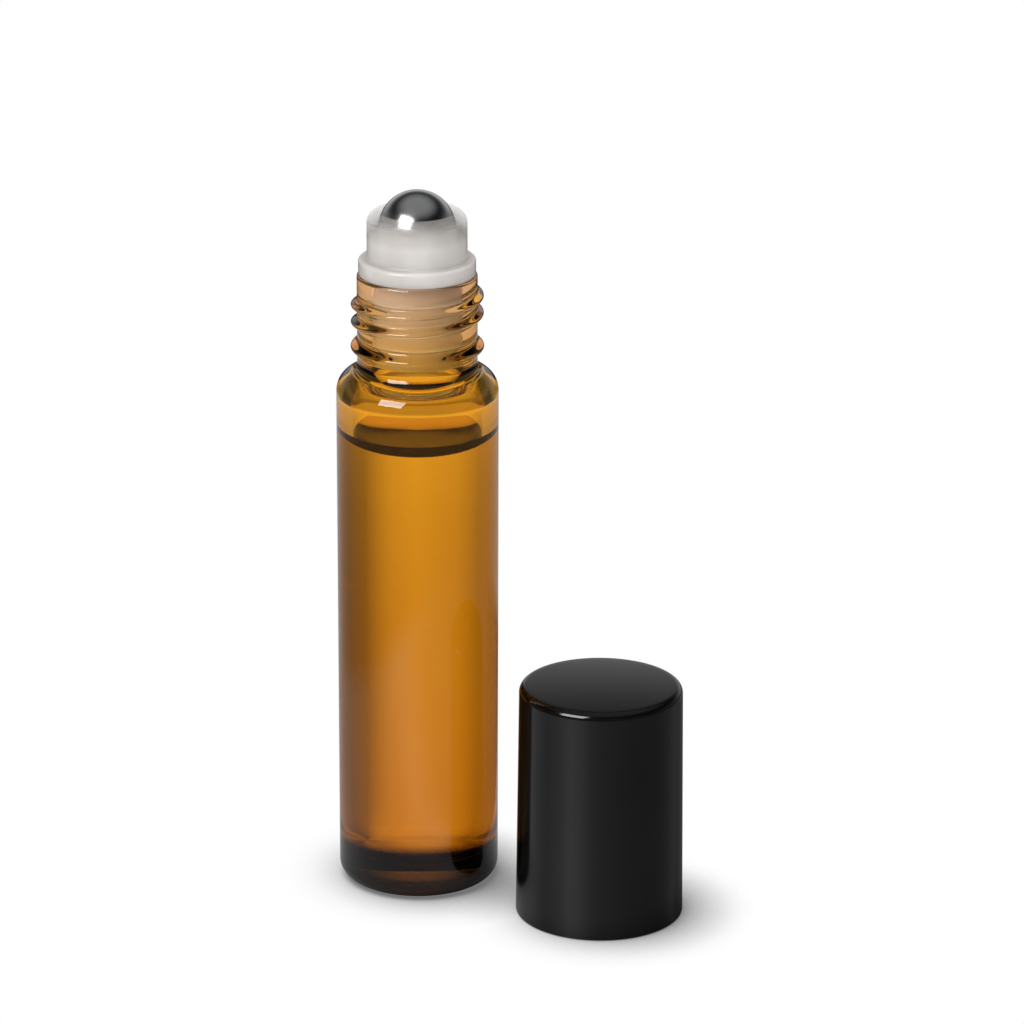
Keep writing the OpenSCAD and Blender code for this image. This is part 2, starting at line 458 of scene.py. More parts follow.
@dataclass(frozen=True)
class Effects:
    """The node groups that the finishes share."""

    grain: bpy.types.NodeTree
    ripple: bpy.types.NodeTree


@dataclass(frozen=True)
class Draft:
    """A material that is being made, with its place split into X, Y and Z."""

    nodes: Nodes
    shader: bpy.types.Node
    place: Socket
    spot: dict[str, Socket]
    ripple: bpy.types.Node
    out: bpy.types.Node

    def tint(self, low: Triple, high: Triple) -> Socket:
        """Adds a colour that drifts between two tints with the ripples."""
        return self.nodes.mix(self.ripple.outputs["Mask"], low, high)

    def colour(self, colour: Socket) -> None:
        """Leads a colour to the shader's base colour."""
        self.nodes.join(colour, self.shader.inputs["Base Color"])

    def bump(self, height: Socket, depth: float) -> None:
        """Leads a height to the shader's normal, its depth in millimetres."""
        relief = self.nodes.add("Bump", Strength=1.0, Distance=depth * MM, Height=height)
        self.nodes.join(relief.outputs[0], self.shader.inputs["Normal"])


@dataclass(frozen=True)
class Finish:
    """What every finish has: a name, the record's slot, and ripples that it drifts with."""

    name: str
    slot: str
    ripple_scale: float = 150.0
    ripple_stretch: float = 0.5

    def make(self, effects: Effects) -> bpy.types.Material:
        """Makes the material.

        Args:
            effects: The shared node groups.

        Returns:
            The material.
        """
        material = bpy.data.materials.new(self.name)
        material.use_nodes = True
        nodes = Nodes(material.node_tree)
        shader = nodes.add("BsdfPrincipled")
        out = nodes.add("OutputMaterial", Surface=shader.outputs[0])
        place = nodes.add("TexCoord").outputs["Object"]
        sizes = {"Scale": self.ripple_scale, "Stretch": self.ripple_stretch}
        ripple = nodes.add("Group", node_tree=effects.ripple, Place=place, **sizes)
        self.dress(Draft(nodes, shader, place, nodes.split(place), ripple, out), effects)
        return material

    def dress(self, draft: Draft, effects: Effects) -> None:
        """Gives a started material its own looks, which each finish adds."""


@dataclass(frozen=True)
class AmberGlass(Finish):
    """Clear amber glass, coloured through its thickness, with painted shade darkening its base and pale at
    its rim.
    """

    ripple_scale: float = 120.0
    ripple_stretch: float = 0.3
    ripple_depth: float = 0.004
    ior: float = 1.5
    absorbed: Triple = (0.9964, 0.94, 0.743)
    density: float = 600.0
    tint_low: Triple = (0.96, 0.658, 0.179)
    tint_high: Triple = (0.99, 0.686, 0.196)
    rim_tint: Triple = (1.0, 0.84, 0.86)
    rim_span: Point = (68.0, 77.0)
    # Painted shade for the base: near black at the heel, dark brown above it.
    heel_painted_shade: Triple = (0.0004, 0.00015, 0.00005)
    base_painted_shade: Triple = (0.022, 0.0095, 0.003)
    heel_span: Point = (2.6, 4.6)
    base_span: Point = (5.95, 7.85)
    base_lean: float = 0.2
    base_front: float = 10.0
    base_side: float = 4.0

    def dress(self, draft: Draft, effects: Effects) -> None:
        """Gives a started material its own looks.

        Args:
            draft: The started material.
            effects: The shared node groups; not used here.
        """
        nodes, shader, spot = draft.nodes, draft.shader, draft.spot
        nodes.fill(shader, Transmission_Weight=1, Roughness=0, IOR=self.ior)
        rim = nodes.span(spot["Z"], metres(self.rim_span))
        clear = nodes.mix(rim, draft.tint(self.tint_low, self.tint_high), self.rim_tint)
        # Painted shade: the base's colour turns nearly black low down and towards the front, standing in for
        # the shadow the base sits in.
        heel = nodes.span(spot["Z"], metres(self.heel_span))
        dark = nodes.mix(heel, self.heel_painted_shade, self.base_painted_shade)
        leant = nodes.sum("ADD", spot["Z"], nodes.times(spot["Y"], self.base_lean))
        shift = self.base_lean * self.base_front
        low, high = self.base_span
        above = nodes.span(leant, metres((low - shift, high - shift)), eased=True)
        behind = nodes.span(spot["Y"], metres((-self.base_side, self.base_side)), eased=True)
        draft.colour(nodes.mix(nodes.sum("MAXIMUM", above, behind), dark, clear))
        draft.bump(draft.ripple.outputs["Height"], self.ripple_depth)
        shadow = nodes.add("LightPath").outputs["Is Shadow Ray"]
        open_way = nodes.add("BsdfTransparent").outputs[0]
        inside = nodes.add("VolumeAbsorption", Color=self.absorbed, Density=self.density)
        surface = nodes.blend(shadow, shader.outputs[0], open_way)
        nodes.fill(draft.out, Surface=surface, Volume=inside.outputs[0])


@dataclass(frozen=True)
class ClearOil(Finish):
    """Clear, faintly golden oil."""

    ripple_scale: float = 40.0
    ripple_stretch: float = 1.0
    ior: float = 1.47
    tint_low: Triple = (0.88, 0.83, 0.45)
    tint_high: Triple = (0.90, 0.85, 0.49)

    def dress(self, draft: Draft, effects: Effects) -> None:
        """Makes it clear and golden."""
        draft.nodes.fill(draft.shader, Transmission_Weight=1, Roughness=0, IOR=self.ior)
        draft.colour(draft.tint(self.tint_low, self.tint_high))


@dataclass(frozen=True)
class GrainedFinish(Finish):
    """A finish with fine grain, uneven gloss and two shades that drift into each other."""

    roughness: float = 0.12
    spread: float = 0.06
    grain_size: float = 0.15
    grain_depth: float = 0.001
    shade_low: Triple = (0.0010, 0.0010, 0.0011)
    shade_high: Triple = (0.0018, 0.0018, 0.0019)

    def shade(self, draft: Draft) -> Socket:
        """Adds the colour that drifts between the two shades."""
        return draft.tint(self.shade_low, self.shade_high)

    def dress(self, draft: Draft, effects: Effects) -> None:
        """Gives a started material its grain, its gloss and its shades.

        Args:
            draft: The started material.
            effects: The shared node groups.
        """
        values = {"Grain_size": self.grain_size, "Roughness": self.roughness, "Spread": self.spread}
        grain = draft.nodes.add("Group", node_tree=effects.grain, Place=draft.place, **values)
        draft.nodes.join(grain.outputs["Roughness"], draft.shader.inputs["Roughness"])
        draft.colour(self.shade(draft))
        draft.bump(grain.outputs["Height"], self.grain_depth)


@dataclass(frozen=True)
class NaturalPlastic(GrainedFinish):
    """Uncoloured moulded plastic that light passes into, with painted shade on the plug inside the glass,
    and thin at the lip.
    """

    ripple_scale: float = 260.0
    ripple_stretch: float = 0.6
    roughness: float = 0.14
    grain_size: float = 0.3
    grain_depth: float = 0.004
    shade_low: Triple = (0.63, 0.60, 0.575)
    shade_high: Triple = (0.69, 0.665, 0.64)
    # Painted shade: the plug inside the glass is greyer than the rest.
    plug_painted_shade: Triple = (0.56, 0.53, 0.51)
    plug_span: Point = (76.0, 79.0)
    ior: float = 1.5
    see_through: float = 0.35
    depth: float = 3.0
    spectrum: Triple = (1.0, 0.95, 0.9)
    thin_span: Point = (83.5, 86.2)
    thin_alpha: float = 0.2

    def shade(self, draft: Draft) -> Socket:
        """Adds the drifting colour, darkened on the plug as painted shade."""
        above = draft.nodes.span(draft.spot["Z"], metres(self.plug_span))
        return draft.nodes.mix(above, self.plug_painted_shade, super().shade(draft))

    def dress(self, draft: Draft, effects: Effects) -> None:
        """Gives a started material its own looks.

        Args:
            draft: The started material.
            effects: The shared node groups.
        """
        nodes, shader = draft.nodes, draft.shader
        nodes.fill(shader, Transmission_Weight=self.see_through, IOR=self.ior, Subsurface_Weight=1.0)
        shader.inputs["Subsurface Radius"].default_value = self.spectrum
        shader.inputs["Subsurface Scale"].default_value = self.depth * MM
        super().dress(draft, effects)
        thin = nodes.span(draft.spot["Z"], metres(self.thin_span), 1.0, self.thin_alpha)
        nodes.join(thin, shader.inputs["Alpha"])


@dataclass(frozen=True)
class PolishedSteel(GrainedFinish):
    """Mirror-polished steel with the faintest lapping haze."""

    ripple_scale: float = 300.0
    ripple_stretch: float = 1.0
    roughness: float = 0.2
    spread: float = 0.04
    grain_size: float = 0.1
    grain_depth: float = 0.0004
    shade_low: Triple = (0.60, 0.605, 0.61)
    shade_high: Triple = (0.64, 0.645, 0.65)

    def dress(self, draft: Draft, effects: Effects) -> None:
        """Makes it metal with its grain."""
        draft.nodes.fill(draft.shader, Metallic=1.0)
        super().dress(draft, effects)


@dataclass(frozen=True)
class BlackPlastic(GrainedFinish):
    """Black moulded plastic, from gloss to satin."""

    ior: float = 1.5

    def dress(self, draft: Draft, effects: Effects) -> None:
        """Makes it plastic with its grain."""
        draft.nodes.fill(draft.shader, IOR=self.ior)
        super().dress(draft, effects)


def show(
    obj: bpy.types.Object, body: Body, node: str, finish: Finish, effects: Effects, angle: float
) -> None:
    """Smooths and dresses a piece, and sets it on its body in place of its plain solid.

    Args:
        obj: The piece.
        body: What it moves with.
        node: The plain solid that it stands for.
        finish: Its finish.
        effects: The shared node groups.
        angle: The turn in degrees from which an edge stays sharp.
    """
    pick(obj)
    bpy.ops.object.shade_smooth_by_angle(angle=math.radians(angle))
    obj.data.materials.clear()
    obj.data.materials.append(finish.make(effects))
    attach(obj, body.value)
    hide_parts(node)
    log.info("%s: %d faces, on %s, stands for %s", obj.name, len(obj.data.polygons), body.value, node)


@dataclass
class GlassBottle:
    """The glass vial: thick base, straight body, shoulder, transfer bead, thread and rim."""

    body_r: float = 10.0
    wall: float = 2.0
    base: float = 4.0
    heel_r: float = 2.0
    floor_r: float = 1.5
    shoulder_r: float = 2.7
    top: float = 66.8
    punt_r: float = 6.2
    punt_depth: float = 0.5
    neck_fillet: float = 1.5
    bore_r: float = 5.6
    bore_edge: float = 1.0
    hollow_r: float = 1.8
    rim_r: float = 0.4
    rim: float = 79.1
    bead_high: float = 0.8
    bead: float = 69.85
    bead_width: float = 2.3
    thread: ScrewRidge = ScrewRidge(wall=7.4, high=0.75, width=1.9, turns=1.9, start=120.0, base=72.6)
    thread_wall: Point = (71.4, 78.3)
    segments: int = 160
    finish: AmberGlass = AmberGlass("Amber glass", "amber_glass")

    @property
    def inner_r(self) -> float:
        """Radius of the hollow."""
        return self.body_r - self.wall

    @property
    def neck_r(self) -> float:
        """Radius of the neck's wall."""
        return self.thread.wall

    def outside(self) -> list[Point]:
        """Half outline of the outside, from the middle of the base to the rim."""
        curve = (self.punt_r**2 + self.punt_depth**2) / (2 * self.punt_depth)
        lean = math.degrees(math.asin(self.punt_r / curve))
        foot = self.body_r - self.shoulder_r
        neck = self.neck_r + self.neck_fillet
        reach = self.shoulder_r + self.neck_fillet
        turn = math.degrees(math.acos((neck - foot) / reach))
        low = self.top - self.shoulder_r
        return [
            *arc(0, self.punt_depth - curve, curve, 90, 90 - lean, 8),
            *arc(self.body_r - self.heel_r, self.heel_r, self.heel_r, -90, 0, 16),
            *arc(foot, low, self.shoulder_r, 0, turn, 18),
            *arc(neck, low + reach * math.sin(math.radians(turn)), self.neck_fillet, 180 + turn, 180, 12),
            *bump(self.neck_r, self.bead_high, self.bead, self.bead_width, 24),
            *self.thread.rings(*self.thread_wall),
            *arc(self.neck_r - self.rim_r, self.rim - self.rim_r, self.rim_r, 0, 90, 8),
        ]

    def inside(self) -> list[Point]:
        """Half outline of the hollow, from the rim down to the middle of its floor."""
        reach = self.bore_edge + self.hollow_r
        turn = math.degrees(math.acos(max(0.0, 1 - (self.inner_r - self.bore_r) / reach)))
        low = self.top - self.wall - self.hollow_r * math.sin(math.radians(turn))
        high = low + reach * math.sin(math.radians(turn))
        return [
            *arc(self.bore_r + self.rim_r, self.rim - self.rim_r, self.rim_r, 90, 180, 8),
            *arc(self.bore_r + self.bore_edge, high, self.bore_edge, 180, 180 + turn, 14),
            *arc(self.inner_r - self.hollow_r, low, self.hollow_r, turn, 0, 14),
            *arc(self.inner_r - self.floor_r, self.base + self.floor_r, self.floor_r, 0, -90, 12),
            (0, self.base),
        ]

    def build(self, effects: Effects) -> None:
        """Builds and dresses the bottle.

        Args:
            effects: The shared node groups.
        """
        outline = held(self.outside()) + held(self.inside())
        glass = turned("glass_bottle", outline, self.segments)
        self.thread.carve(glass)
        show(glass, Body.BOTTLE, "bottle", self.finish, effects, 50)


@dataclass
class Oil:
    """The oil, up to just under the shoulder, with its edge drawn up the glass."""

    radius: float = 8.0
    floor: float = 4.0
    floor_r: float = 1.5
    level: float = 57.2
    meniscus: float = 2.3
    meniscus_reach: float = 1.6
    soak: float = 0.03
    segments: int = 160
    finish: ClearOil = ClearOil("Clear oil", "oil")

    def surface(self, steps: int = 40, crowding: float = 1.5) -> list[Point]:
        """Half outline of the oil's top, drawn up at the glass and level in the middle.

        Args:
            steps: Number of chords.
            crowding: How strongly the points crowd towards the glass.

        Returns:
            The points, from the glass inwards.
        """
        gaps = [self.radius * (i / (steps + 1)) ** crowding for i in range(steps + 1)]
        rises = [self.meniscus * math.exp(-gap / self.meniscus_reach) for gap in gaps]
        return [(self.radius - gap, self.level + rise) for gap, rise in zip(gaps, rises)]

    def build(self, effects: Effects) -> None:
        """Builds and dresses the oil.

        Args:
            effects: The shared node groups.
        """
        corner = (self.radius - self.floor_r, self.floor + self.floor_r, self.floor_r + self.soak)
        outline = [
            (0, self.floor - self.soak),
            *arc(*corner, -90, 0, 12),
            (self.radius + self.soak, self.level + self.meniscus),
            *self.surface(),
            (0, self.level),
        ]
        oil = turned("oil", held(outline), self.segments)
        show(oil, Body.BOTTLE, "oil_fill", self.finish, effects, 50)


@dataclass
class Housing:
    """The snap-in housing: plug skirt with sealing beads, flange, cup and lip."""

    rim: float = 79.1
    bore_r: float = 5.6
    plug_r: float = 5.35
    plug_wall: float = 1.0
    plug_length: float = 11.0
    plug_beads: int = 3
    bead_width: float = 0.9
    bead_grip: float = 0.04
    flange_r: float = 7.2
    flange_h: float = 1.95
    flange_edge: float = 0.4
    flange_foot: float = 0.15
    root_r: float = 0.3
    cup_r: float = 6.15
    ball_z: float = 84.75
    socket_r: float = 4.8
    moat: float = 0.25
    moat_start: float = 0.05
    seat_r: float = 3.2
    feed_r: float = 2.2
    floor: float = 1.3
    lip: float = 87.0
    lip_r: float = 1.5
    lip_land: float = 0.35
    grip: float = 1.8
    segments: int = 128
    finish: NaturalPlastic = NaturalPlastic("Natural plastic", "natural_plastic")

    def outside(self) -> list[Point]:
        """Half outline of the outside, from the skirt's foot up to the lip."""
        low = self.rim - self.plug_length
        step = self.plug_length / (self.plug_beads + 1)
        high = self.bore_r + self.bead_grip - self.plug_r
        shelf = self.rim + self.flange_h
        grip_r = math.sqrt(self.socket_r**2 - self.grip**2)
        lean = math.degrees(math.acos((grip_r + self.lip_land - self.cup_r + self.lip_r) / self.lip_r))
        middles = [low + step * (i + 1) for i in range(self.plug_beads)]
        return [
            (self.plug_r - self.plug_wall / 3, low),
            *(point for z in middles for point in bump(self.plug_r, high, z, self.bead_width, 12)),
            (self.plug_r, self.rim),
            *arc(self.flange_r - self.flange_foot, self.rim + self.flange_foot, self.flange_foot, -90, 0, 4),
            *arc(self.flange_r - self.flange_edge, shelf - self.flange_edge, self.flange_edge, 0, 90, 10),
            *arc(self.cup_r + self.root_r, shelf + self.root_r, self.root_r, 270, 180, 6),
            *arc(self.cup_r - self.lip_r, self.lip - self.lip_r, self.lip_r, 0, lean, 14),
        ]

    def inside(self) -> list[Point]:
        """Half outline of the socket, the feed hole and the skirt's bore, from the lip down."""
        halves = (self.seat_r, self.feed_r, self.grip)
        seat, feed, grip = (math.degrees(math.asin(half / self.socket_r)) for half in halves)
        moat_r = self.socket_r - self.moat_start + self.moat
        seat_z = self.ball_z - math.sqrt(self.socket_r**2 - self.seat_r**2)
        feed_z = self.ball_z - math.sqrt(self.socket_r**2 - self.feed_r**2)
        bore = self.plug_r - self.plug_wall
        return [
            *arc(0, self.ball_z, self.socket_r, grip, 0, 8),
            (moat_r, self.ball_z - self.moat),
            (moat_r, seat_z + self.moat),
            *arc(0, self.ball_z, self.socket_r, seat - 90, feed - 90, 5),
            (self.feed_r, feed_z - self.floor),
            (bore, feed_z - self.floor),
            (bore, self.rim - self.plug_length),
            (self.plug_r - self.plug_wall / 3, self.rim - self.plug_length),
        ]

    def build(self, effects: Effects) -> None:
        """Builds and dresses the housing.

        Args:
            effects: The shared node groups.
        """
        housing = turned("roller_cup", held(self.outside() + self.inside(), 0.08), self.segments)
        show(housing, Body.BOTTLE, "roller_housing", self.finish, effects, 40)


@dataclass
class Ball:
    """The steel ball."""

    radius: float = 4.75
    centre: float = 84.75
    finish: PolishedSteel = PolishedSteel("Polished steel", "polished_steel")

    def build(self, effects: Effects) -> None:
        """Builds and dresses the ball.

        Args:
            effects: The shared node groups.
        """
        outline = arc(0, self.centre, self.radius, -90, 90, 72)
        ball = turned("steel_ball", [(max(x, 0.0), z) for x, z in outline], 144)
        show(ball, Body.BALL, "roller_ball", self.finish, effects, 60)


@dataclass
class Cap:
    """The screw cap: a glossy shell and a threaded inner sleeve."""

    x: float = 22.704
    y: float = -11.718
    radius: float = 10.4
    top_r: float = 10.1
    height: float = 30.0
    edge: float = 0.9
    crown_r: float = 210.0
    rim_r: float = 0.25
    shell_bore: float = 9.3
    roof: float = 28.5
    sleeve_r: float = 9.25
    recess: float = 0.6
    step_r: float = 7.6
    step_z: float = 12.6
    disc: float = 23.5
    disc_t: float = 1.2
    seal_r: float = 2.6
    seal_w: float = 0.8
    ball_r: float = 4.78
    ball_z: float = 18.25
    roof_r: float = 0.3
    thread: ScrewRidge = ScrewRidge(wall=8.35, high=0.65, width=1.14, turns=1.25, start=120.0, base=5.0)
    thread_wall: Point = (2.6, 9.2)
    segments: int = 160
    shell_finish: BlackPlastic = BlackPlastic("Black gloss plastic", "black_gloss_plastic")
    sleeve_finish: BlackPlastic = BlackPlastic(
        "Black moulded plastic",
        "black_moulded_plastic",
        roughness=0.42,
        spread=0.15,
        grain_size=0.2,
        grain_depth=0.004,
        shade_low=(0.016, 0.016, 0.017),
        shade_high=(0.022, 0.022, 0.023),
    )

    def shell_outline(self) -> list[Point]:
        """Half outline of the shell, from the middle of its roof round to the middle of its crowned top."""
        lean = math.asin((self.top_r - self.edge) / (self.crown_r - self.edge))
        turn = 90 - math.degrees(lean)
        middle = self.height - self.crown_r
        edge_z = middle + (self.crown_r - self.edge) * math.cos(lean)
        return [
            (0, self.roof),
            *arc(self.shell_bore - self.roof_r, self.roof - self.roof_r, self.roof_r, 90, 0, 6),
            *arc(self.shell_bore + self.rim_r, self.rim_r, self.rim_r, 180, 270, 6),
            *arc(self.radius - self.rim_r, self.rim_r, self.rim_r, -90, 0, 6),
            *arc(self.top_r - self.edge, edge_z, self.edge, 0, turn, 16),
            *arc(0, middle, self.crown_r, turn, 90, 16)[1:],
        ]

    @property
    def sleeve_bore(self) -> float:
        """Radius of the sleeve's bore."""
        return self.thread.wall

    def seal_z(self, x: float) -> float:
        """Height of the sealing ring's face at a distance from the axis."""
        return self.ball_z + math.sqrt(self.ball_r**2 - x**2)

    def sleeve_outline(self) -> list[Point]:
        """Half outline of the inner sleeve, from its disc's top down the outside and up the bore."""
        seal_in = self.seal_r - self.seal_w / 2
        return [
            (0, self.disc + self.disc_t),
            (self.step_r, self.disc + self.disc_t),
            (self.step_r, self.roof),
            (self.sleeve_r, self.roof),
            (self.sleeve_r, self.recess),
            (self.sleeve_bore, self.recess),
            *self.thread.rings(*self.thread_wall),
            (self.sleeve_bore, self.step_z),
            (self.step_r, self.step_z + self.sleeve_bore - self.step_r),
            (self.step_r, self.disc),
            (self.seal_r + self.seal_w / 2, self.disc),
            (self.seal_r, self.seal_z(self.seal_r)),
            (seal_in, self.seal_z(seal_in)),
            (self.seal_r - self.seal_w, self.disc),
            (0, self.disc),
        ]

    def build(self, effects: Effects) -> None:
        """Builds and dresses the shell and the sleeve.

        Args:
            effects: The shared node groups.
        """
        shell = turned("cap_cover", held(self.shell_outline()), self.segments)
        placed(shell, self.x, self.y)
        show(shell, Body.CAP, "cap_shell", self.shell_finish, effects, 35)
        sleeve = turned("cap_sleeve", held(self.sleeve_outline()), self.segments)
        self.thread.carve(sleeve)
        placed(sleeve, self.x, self.y)
        show(sleeve, Body.CAP, "cap_liner", self.sleeve_finish, effects, 35)


@dataclass(frozen=True)
class SoftBox:
    """A soft light that faces the object, its directions in degrees from the front and from level."""

    name: str
    size: Point
    power: float
    turn: float
    rise: float
    far: float
    in_gloss: bool = True

    def build(self, target: Vector) -> None:
        """Adds the light.

        Args:
            target: What it faces, in millimetres.
        """
        data = bpy.data.lights.new(self.name, "AREA")
        data.shape = "RECTANGLE"
        data.size, data.size_y = (side * MM for side in self.size)
        data.energy = self.power
        lamp = bpy.data.objects.new(self.name, data)
        bpy.context.scene.collection.objects.link(lamp)
        around, up = math.radians(self.turn), math.radians(self.rise)
        away = Vector((math.sin(around) * math.cos(up), -math.cos(around) * math.cos(up), math.sin(up)))
        lamp.location = (target + away * self.far) * MM
        lamp.rotation_mode = "QUATERNION"
        lamp.rotation_quaternion = away.to_track_quat("Z", "Y")
        lamp.visible_transmission = False
        lamp.visible_glossy = self.in_gloss


@dataclass
class Surround:
    """The world: white for the camera, even for plain surfaces, and grey levels for gloss and glass.

    Places on the ramps are the height of a direction, and the other limits are a direction's share
    along an axis, from -1 to 1.
    """

    fill: float = 0.37
    gloss: tuple[Point, ...] = (
        (0.0, 0.5), (0.2, 0.62), (0.24, 0.66), (0.3, 0.42), (0.36, 0.3), (0.42, 0.17), (0.5, 0.06),
        (0.6, 0.04), (1.0, 0.04),
    )
    side_span: Point = (-0.2, 0.85)
    front_level: float = 0.2
    overhead_span: Point = (0.62, 0.9)
    overhead_level: float = 0.26
    edge_span: Point = (0.35, 0.8)
    edge_level: float = 0.4
    through: tuple[Point, ...] = (
        (0.0, 0.35), (0.15, 0.4), (0.33, 0.85), (0.45, 1.0), (0.55, 1.0), (0.66, 0.42), (0.8, 0.38),
        (1.0, 0.2),
    )
    aside_span: Point = (0.1, 0.45)
    aside_level: float = 0.1
    high_span: Point = (0.45, 0.65)

    def build(self) -> None:
        """Sets the world."""
        world = bpy.data.worlds.new("studio")
        bpy.context.scene.world = world
        world.use_nodes = True
        nodes = Nodes(world.node_tree)
        path = nodes.add("LightPath").outputs
        way = nodes.split(nodes.add("TexCoord").outputs["Generated"])
        aside = nodes.sum("ABSOLUTE", way["X"], 0.0)
        behind = nodes.span(way["Y"], self.side_span, self.front_level)
        edge = nodes.span(aside, self.edge_span, 1.0, self.edge_level)
        above = nodes.span(way["Z"], self.overhead_span, 0.0, self.overhead_level)
        gloss = nodes.times(ramp(nodes, way["Z"], self.gloss), behind)
        gloss = nodes.sum("ADD", nodes.times(gloss, edge), above)
        open_way = nodes.span(aside, self.aside_span, 1.0, self.aside_level)
        open_way = nodes.sum("MAXIMUM", open_way, nodes.span(way["Z"], self.high_span))
        through = nodes.times(ramp(nodes, way["Z"], self.through), open_way)
        dim = nodes.add("Background", Color=nodes.mix(path["Is Transmission Ray"], gloss, through))
        even = nodes.add("Background", Color=WHITE, Strength=self.fill)
        white = nodes.add("Background", Color=WHITE, Strength=1.0)
        plain = nodes.blend(path["Is Diffuse Ray"], dim.outputs[0], even.outputs[0])
        nodes.add("OutputWorld", Surface=nodes.blend(path["Is Camera Ray"], plain, white.outputs[0]))


def ramp(nodes: Nodes, value: Socket, stops: Sequence[Point]) -> Socket:
    """Adds a smooth curve through grey levels.

    Args:
        nodes: The nodes to add to.
        value: What the curve reads, from 0 to 1.
        stops: Places on the curve and the level at each.

    Returns:
        The level's output.
    """
    curve = nodes.add("ValToRGB", Fac=value)
    elements = curve.color_ramp.elements
    while len(elements) < len(stops):
        elements.new(0.5)
    for element, (at, level) in zip(elements, stops):
        element.position = at
        element.color = (level, level, level, 1)
    return curve.outputs["Color"]


def turned_ramp(nodes: Nodes, turn: Socket, stops: Sequence[Point]) -> Socket:
    """Adds a grey level that follows a direction, its stops in degrees from the front."""
    return ramp(nodes, turn, [(degrees / 360 + 0.5, level) for degrees, level in stops])


def whole_turns(nodes: Nodes, angle: Socket) -> Socket:
    """Adds an angle's share of a whole turn, 0.5 for an angle of nothing."""
    return nodes.sum("ADD", nodes.sum("DIVIDE", angle, math.tau), 0.5)


@dataclass(frozen=True)
class Spot:
    """A point of the floor as an axis that stands on it sees it."""

    x: Socket
    y: Socket
    far: Socket
    turn: Socket


def spot_from(nodes: Nodes, x: Socket, y: Socket) -> Spot:
    """Works out how far and in which direction a point of the floor lies.

    Args:
        nodes: The nodes to add to.
        x: The point's X from the axis.
        y: The point's Y from the axis.

    Returns:
        The point, its direction 0.5 from the front and growing towards the right.
    """
    square = nodes.sum("ADD", nodes.times(x, x), nodes.times(y, y))
    turn = nodes.sum("ARCTAN2", x, nodes.times(y, -1.0))
    return Spot(x, y, nodes.sum("SQRT", square, 0.0), whole_turns(nodes, turn))


